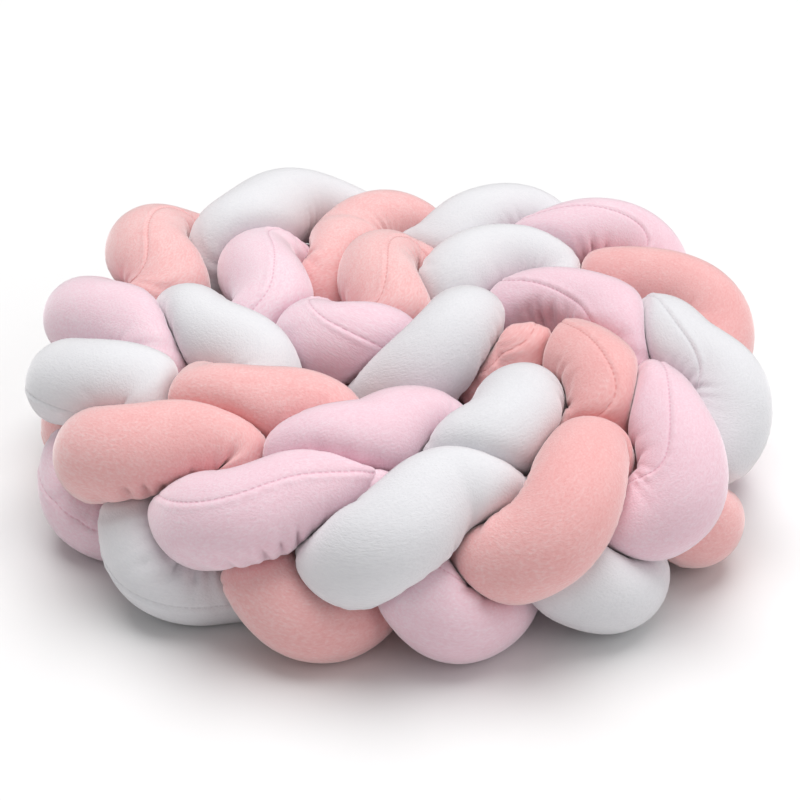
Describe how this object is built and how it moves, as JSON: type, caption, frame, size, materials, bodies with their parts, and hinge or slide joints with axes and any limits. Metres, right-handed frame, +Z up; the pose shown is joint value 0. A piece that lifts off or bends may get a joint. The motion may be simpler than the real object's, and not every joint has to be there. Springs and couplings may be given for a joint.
{
  "type": "braided crib bumper",
  "caption": "Plait of stuffed velvet tubes wound into a flat round coil, a soft guard for the inside of a crib.",
  "frame": {"origin": "on the floor, under the middle of the coil's outline", "axes": "+Z up, -Y towards the side that the picture shows in front, +X to that side's right"},
  "size_m": [0.6244, 0.6248, 0.1827],
  "materials": {
    "white_velvet": "short white velvet pile",
    "salmon_velvet": "short salmon pink velvet pile",
    "pale_pink_velvet": "short pale pink velvet pile"
  },
  "bodies": {
    "root": {"strand_white": "white_velvet", "strand_salmon": "salmon_velvet", "strand_pale_pink": "pale_pink_velvet"}
  },
  "joints": []
}
